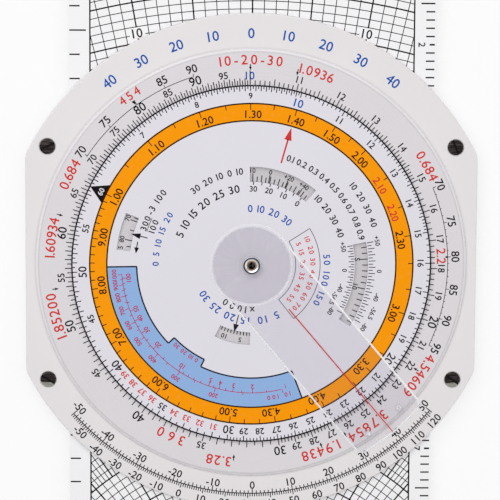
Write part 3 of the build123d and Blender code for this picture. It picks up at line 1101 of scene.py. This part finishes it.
class SLIDE_RULE_OT_print_dial_rows(bpy.types.Operator):
    """Prints the middle of the turning disc: marks and plain numbers around its windows"""

    bl_idname = "slide_rule.print_dial_rows"
    bl_label = "Print the dial's rows"

    def execute(self, context):
        sizes = settings()
        face = top("computer_disc")
        fine, thin = sizes.fine / MM, sizes.thin / MM
        black = Printing(face)
        black.spaced("30 20 10 0 10", 320.8, 354.6, 29.4, 2.1)
        black.spaced("5 10 15 20 25 30", 291.4, 350.8, 24.2, 2.5)
        black.row(("30", "20", "10", "0"), 1.1, 36.2, 23.8, 1.8)
        for step in range(7):
            black.radial(1.1 + 5.85 * step, 25.0, 26.0, thin)
        black.spaced("10 20 30 40", 43.1, 72.5, 29.2, 2.1)
        black.around(figure("+50", 1.5), 78.7, 29.0)
        black.spaced("0.1 0.2 0.3 0.4 0.5 0.6 0.7 0.8 0.9", 17.8, 76.9, 35.2, 2.0)
        black.spaced("10 20 30 40", 50.5, 72.5, 40.0, 2.0)
        black.around(figure("+50", 1.5), 78.9, 39.7)
        for step in range(27):
            clock = 79.0 + 1.5 * step
            black.radial(clock, 36.4, 38.5 if step % 2 == 0 else 37.7, 0.24)
            black.radial(clock, 30.2 if step % 2 == 0 else 30.9, 31.9, 0.24)
        for text, clock, radius in (("0", 92.8, 39.8), ("-40", 104.5, 40.2), ("-56.5", 111.9, 40.6), ("-80", 119.0, 40.2)):
            black.around(figure(text, 1.5), clock, radius)
        for text, clock, radius in (("0", 93.2, 29.0), ("-40", 104.5, 28.6), ("-56.5", 112.0, 27.6), ("-80", 120.0, 28.6)):
            black.around(figure(text, 1.5), clock, radius)

        black.radial(194.1, 16.2, 19.3, 0.3)
        black.around(wedge(1.8, 2.5), 194.1, 19.2)
        black.spaced("x1000", 175.5, 217.5, 14.2, 2.2)
        black.radial(284.5, 33.3, 35.7, 0.3)
        black.around(wedge(1.8, 3.0), 284.5, 35.6)
        black.arc(36.0, 0.3, 278.2, 281.5, step=1.0)
        black.around(wedge(1.5, 1.9), 278.6, 36.0, turn=-90)
        black.spaced("300", 287.8, 295.2, 35.4, 2.0)
        black.arc(34.1, fine, 287.6, 295.4, step=1.0)
        black.spaced("100", 287.9, 295.1, 32.7, 2.0)
        black.spaced("-3 100", 296.6, 310.5, 35.5, 2.1)
        black.join("dial_black", ink("black"), "computer_dial")

        blue = Printing(face)
        blue.spaced("0 10 20 30", -4.0, 43.1, 17.7, 2.3)
        blue.spaced("50 100 150", 81.9, 121.9, 23.5, 2.1)
        blue.spaced("5 10 15", 151.0, 190.8, 17.6, 2.4)
        blue.spaced("20 25 30", 196.9, 241.4, 17.6, 2.4)
        blue.spaced("0 5 10 15 20", 269.3, 302.8, 29.8, 2.0)
        blue.join("dial_blue", ink("blue"), "computer_dial")

        red = Printing(face)
        red.radial(15.8, 33.0, 40.6, 0.5)
        red.around(wedge(2.3, 4.0), 15.8, 40.4)
        red.spaced("10 20 30 40 50 60 70", 62.5, 136.5, 19.1, 1.6)
        red.spaced("5 15 25 35 45 55", 64.0, 134.5, 16.0, 1.6)
        red.join("dial_red", ink("red"), "computer_dial")

        grey = Printing(face)
        for radius in (13.7, 21.3):
            grey.arc(radius, fine, 57.5, 141.8, step=3.0)
        for clock in (57.5, 141.8):
            grey.radial(clock, 13.7, 21.3, fine)
        grey.join("dial_field", ink("grey"), "computer_dial")
        return {"FINISHED"}


class SLIDE_RULE_OT_print_cursor_line(bpy.types.Operator):
    """Prints the red line on the underside of the clear cursor"""

    bl_idname = "slide_rule.print_cursor_line"
    bl_label = "Print the cursor's line"

    def execute(self, context):
        red = Printing(bottom("cursor") + 0.012 * MM, below=True)
        start, reach = 18.0, 69.0
        red.radial(-CURSOR_CLOCK, start, reach, 0.31)
        red.join("cursor_line", ink("red"), "cursor_arm")
        return {"FINISHED"}


class SLIDE_RULE_OT_print_chart(bpy.types.Operator):
    """Prints both faces of the slide: a chart of arcs and rays, and two rulers"""

    bl_idname = "slide_rule.print_chart"
    bl_label = "Print the slide's charts"

    def execute(self, context):
        print_chart("front", top("wind_slide"), False, 1.2573, 40, 200, 2, 60)
        print_chart("back", bottom("wind_slide"), True, 0.4191, 130, 600, 10, 180)
        return {"FINISHED"}


def print_chart(side, face, below, unit, slowest, fastest, step, change):
    """One face of the slide. An arc stands for each speed, a ray for each degree of drift.

    Rays stand every degree beyond the speed where they change, and every other degree before it.
    """
    sizes = settings()
    half = sizes.chart_half_width / MM
    centre = -sizes.chart_centre / MM
    end = 121.0
    spread = 60
    thin, bold = 0.25, 0.44

    lines = Printing(face, below)
    arcs = []
    depth = (sizes.ink_rise + sizes.ink_sink) / MM
    across = Matrix.Rotation(math.pi / 2, 4, "Y")
    lift_to = Matrix.Translation((0, 0, (sizes.ink_rise - sizes.ink_sink) / 2))
    start = Matrix.Translation((0, centre * MM, 0)) @ Matrix.Rotation(math.radians(spread), 4, "Z")
    for speed in range(slowest, fastest + 1, step):
        width = bold if speed % (5 * step) == 0 else thin
        arcs.append(plane(depth, width, start @ Matrix.Translation((0, speed * unit * MM, 0)) @ lift_to @ across))
    deselect()
    for arc in arcs:
        arc.select_set(True)
    bpy.context.view_layer.objects.active = arcs[0]
    bpy.ops.object.join()
    web = bpy.context.object
    edit(web)
    bpy.ops.mesh.spin(
        steps=2 * spread, angle=math.radians(2 * spread), center=(0, centre * MM, 0), axis=(0, 0, 1)
    )
    close_edit()
    web.data.transform(lines.face)
    lines.marks.append(web)

    near, far = slowest * unit, fastest * unit
    for angle in range(-spread, spread + 1):
        width = bold if angle % 5 == 0 else thin
        if angle % 2 == 0:
            lines.radial(angle, near, change * unit, bold if angle % 10 == 0 else thin, centre)
        lines.radial(angle, change * unit, far, width, centre)
    grid = lines.join("chart_" + side + "_lines", ink("black"), "slide")
    edit(grid)
    for x, way in ((-half, -1), (half, 1)):
        bpy.ops.mesh.select_all(action="SELECT")
        bpy.ops.mesh.bisect(plane_co=(x * MM, 0, 0), plane_no=(way, 0, 0), use_fill=True, clear_outer=True)
    bpy.ops.mesh.select_all(action="SELECT")
    bpy.ops.mesh.bisect(plane_co=(0, end * MM, 0), plane_no=(0, 1, 0), use_fill=True, clear_outer=True)
    close_edit()

    rim = Printing(face, below)
    for x in (-half, half):
        rim.at(bar(bold, 2 * end), x, -end)
    for y in (-end, end):
        rim.at(bar(2 * half, bold), 0, y - bold / 2)
    square = 2.5146
    for step in range(-15, 16):
        rim.at(bar(bold if step % 5 == 0 else thin, 9 * square), step * square, -end)
    for step in range(1, 10):
        width = bold if step % 5 == 0 else thin
        rim.at(bar(30 * square, width), 0, step * square - end - width / 2)
    ruler_end = 119.0
    inch = 25.4
    edge = (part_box("wind_slide")[1].x / MM) - 0.25
    for tenth in range(0, 94):
        y = ruler_end - tenth * inch / 10
        if tenth % 10 == 0:
            rim.at(bar(1.6, 0.55), edge - 0.8, y - 0.275)
            rim.at(figure(str(tenth // 10), 2.2), edge - 3.9, y, turn=90)
        elif tenth % 5 == 0:
            rim.at(bar(4.3, bold), edge - 2.15, y - bold / 2)
        else:
            rim.at(bar(2.7, bold), edge - 1.35, y - bold / 2)
    mile = 7.46
    for count in range(-6, 27):
        length = 5.1 if (count - 1) % 5 == 0 else 3.2
        rim.at(bar(length, bold), length / 2 - edge, 79.75 - count * mile - bold / 2)
    rim.join("chart_" + side + "_rulers", ink("black"), "slide")

    patches = Printing(face + (-1 if below else 1) * sizes.ink_rise * 0.5, below)
    numbers = Printing(face + (-1 if below else 1) * sizes.ink_rise * 1.5, below)
    for speed in range(slowest, fastest + 1, 5 * step):
        if speed * unit + centre < end - 3:
            patches.around(bar(4.4, 3.2), 0, speed * unit - 1.6, centre=centre)
            numbers.around(figure(str(speed), 2.2), 0, speed * unit, centre=centre)
    for radius in (79.0, 141.0, 204.3):
        for angle in (-30, -20, -10, 10, 20, 30):
            if abs(radius * math.sin(math.radians(angle))) < half - 3:
                patches.around(bar(4.8, 3.4), angle, radius - 1.7, centre=centre)
                numbers.around(figure(str(abs(angle)), 2.9), angle, radius, centre=centre)
    patches.join("chart_" + side + "_fields", moulded("field_" + side, tuple(chart_tint()), 0.42), "slide")
    numbers.join("chart_" + side + "_numbers", ink("black"), "slide")


def chart_tint():
    return bpy.context.scene.slide_rule_plastics.chart


class SLIDE_RULE_OT_print_back(bpy.types.Operator):
    """Prints the back: a compass rose on the turning ring, index marks on the plate and a plotting point"""

    bl_idname = "slide_rule.print_back"
    bl_label = "Print the back"

    def execute(self, context):
        sizes = settings()
        thin, bold = sizes.thin / MM, sizes.bold / MM
        edge = sizes.rose_edge / MM
        rose = Printing(bottom("azimuth_ring"), below=True)
        rose.arc(edge, thin, step=1.5)
        for angle in range(360):
            reach = 4.2 if angle % 10 == 0 else 3.1 if angle % 5 == 0 else 2.0
            rose.radial(angle, edge - reach, edge, bold if angle % 10 == 0 else thin)
        for angle in range(0, 360, 10):
            rose.around(figure(str(angle), 3.4 if angle % 90 == 0 else 2.6), angle, edge - 6.6)
        rose.join("compass_rose", ink("black"), "wind_dial")

        point = Printing(bottom("plotting_disc"), below=True)
        point.put(spot(1.2), Matrix.Identity(4))
        point.arc(2.2, thin, step=10)
        point.join("plotting_point", ink("black"), "wind_dial")

        index = Printing(bottom("rear_plate"), below=True)
        index.arc(66.8, thin, -45, 45, step=1.5)
        for angle in range(-45, 46):
            reach = 2.8 if angle % 10 == 0 else 2.2 if angle % 5 == 0 else 1.3
            index.radial(angle, 66.8, 66.8 + reach, bold if angle == 0 else thin)
        for angle in range(-40, 41, 10):
            index.around(figure(str(abs(angle)), 2.4), angle, 71.4)
        index.around(wedge(2.6, 2.2), 0, 75.4, turn=180)
        index.join("rear_index", ink("black"), "body")
        return {"FINISHED"}


class SLIDE_RULE_OT_set_stage(bpy.types.Operator):
    """Sets a pale floor, soft light and the camera"""

    bl_idname = "slide_rule.set_stage"
    bl_label = "Set the stage"

    def execute(self, context):
        scene = context.scene
        scene.view_settings.view_transform = "Standard"
        self.lay_floor()
        self.light(scene)
        self.place_camera(scene)
        return {"FINISHED"}

    def lay_floor(self):
        deselect()
        bpy.ops.mesh.primitive_plane_add(size=12, location=(0, 0, cad_box[0].z - 0.05 * MM))
        floor = bpy.context.object
        floor.name = "floor"
        paint = Paint("floor_paper", Roughness=0.9, Specular_IOR_Level=0.0)
        cloud = paint.noise(paint.place(), 3, 2)
        paint.set(Base_Color=paint.blend(cloud, (0.955, 0.955, 0.96), (0.965, 0.965, 0.97)))
        white = paint.node("Emission", None, {"Color": (1.0, 1.0, 1.0), "Strength": 1.0})
        paint.mix_in(paint.seen_as_backdrop() * 0.7, white)
        floor.data.materials.append(paint.material)

    def light(self, scene):
        world = bpy.data.worlds.new("studio")
        scene.world = world
        world.use_nodes = True
        sky = Nodes(world.node_tree)
        height = sky.along(sky.node("TexCoord", output="Generated"), "Z")
        studio = sky.ramp(height, (0.0, 0.25), (1.0, 0.72))
        backdrop = sky.ramp(height, (0.0, 1.0), (0.6, 1.0), (0.93, 0.3), (1.0, 0.2))
        background = world.node_tree.nodes["Background"]
        sky.feed(background.inputs["Color"], sky.blend(sky.seen_as_backdrop(), studio, backdrop))
        background.inputs["Strength"].default_value = 1.0
        for name, place, size, power in (
            ("key_lamp", (-0.3, 0.68, 1.22), 1.3, 9.7),
            ("fill_lamp", (1.4, -0.4, 1.5), 1.6, 3),
        ):
            deselect()
            bpy.ops.object.light_add(type="AREA", location=place)
            lamp = bpy.context.object
            lamp.name = name
            lamp.data.size = size
            lamp.data.energy = power
            lamp.visible_camera = False
            lamp.rotation_euler = (-Vector(place)).to_track_quat("-Z", "Y").to_euler()

    def place_camera(self, scene):
        stage = scene.slide_rule_stage
        turn = Matrix.Rotation(stage.roll, 3, "Z") @ Matrix.Rotation(stage.sway, 3, "Y") @ Matrix.Rotation(stage.tilt, 3, "X")
        level = Vector((0, 0, top("front_plate")))
        place = turn.transposed() @ Vector((-stage.shift_right, -stage.shift_up, stage.distance)) + level
        camera = bpy.data.objects.new("camera", bpy.data.cameras.new("camera"))
        camera.data.sensor_width = 36
        camera.data.lens = stage.lens
        camera.matrix_world = Matrix.Translation(place) @ turn.transposed().to_4x4()
        scene.collection.objects.link(camera)
        scene.camera = camera


STEPS = (
    SLIDE_RULE_OT_set_stage,
    SLIDE_RULE_OT_finish_body,
    SLIDE_RULE_OT_roll_eyelet,
    SLIDE_RULE_OT_print_outer_scale,
    SLIDE_RULE_OT_print_plate,
    SLIDE_RULE_OT_print_window_scales,
    SLIDE_RULE_OT_print_inner_scale,
    SLIDE_RULE_OT_print_hour_ring,
    SLIDE_RULE_OT_print_blue_band,
    SLIDE_RULE_OT_print_dial_rows,
    SLIDE_RULE_OT_print_cursor_line,
    SLIDE_RULE_OT_print_chart,
    SLIDE_RULE_OT_print_back,
)


class SLIDE_RULE_PT_steps(bpy.types.Panel):
    """Lists the steps that dress the slide rule"""

    bl_label = "Slide rule"
    bl_space_type = "VIEW_3D"
    bl_region_type = "UI"
    bl_category = "Slide Rule"

    def draw(self, context):
        for step in STEPS:
            self.layout.operator(step.bl_idname)


GROUPS = {
    "slide_rule_sizes": PrintSizes,
    "slide_rule_inks": Inks,
    "slide_rule_plastics": Plastics,
    "slide_rule_stage": StageSettings,
}


def register():
    for kind in (*GROUPS.values(), *STEPS, SLIDE_RULE_PT_steps):
        bpy.utils.register_class(kind)
    for name, kind in GROUPS.items():
        setattr(bpy.types.Scene, name, PointerProperty(type=kind))


def unregister():
    for name in GROUPS:
        delattr(bpy.types.Scene, name)
    for kind in (SLIDE_RULE_PT_steps, *reversed(STEPS), *GROUPS.values()):
        bpy.utils.unregister_class(kind)


def main():
    register()
    for step in STEPS:
        area, name = step.bl_idname.split(".")
        getattr(getattr(bpy.ops, area), name)()
    for mark in MARKS.values():
        bpy.data.objects.remove(mark)


if __name__ == "__main__":
    main()
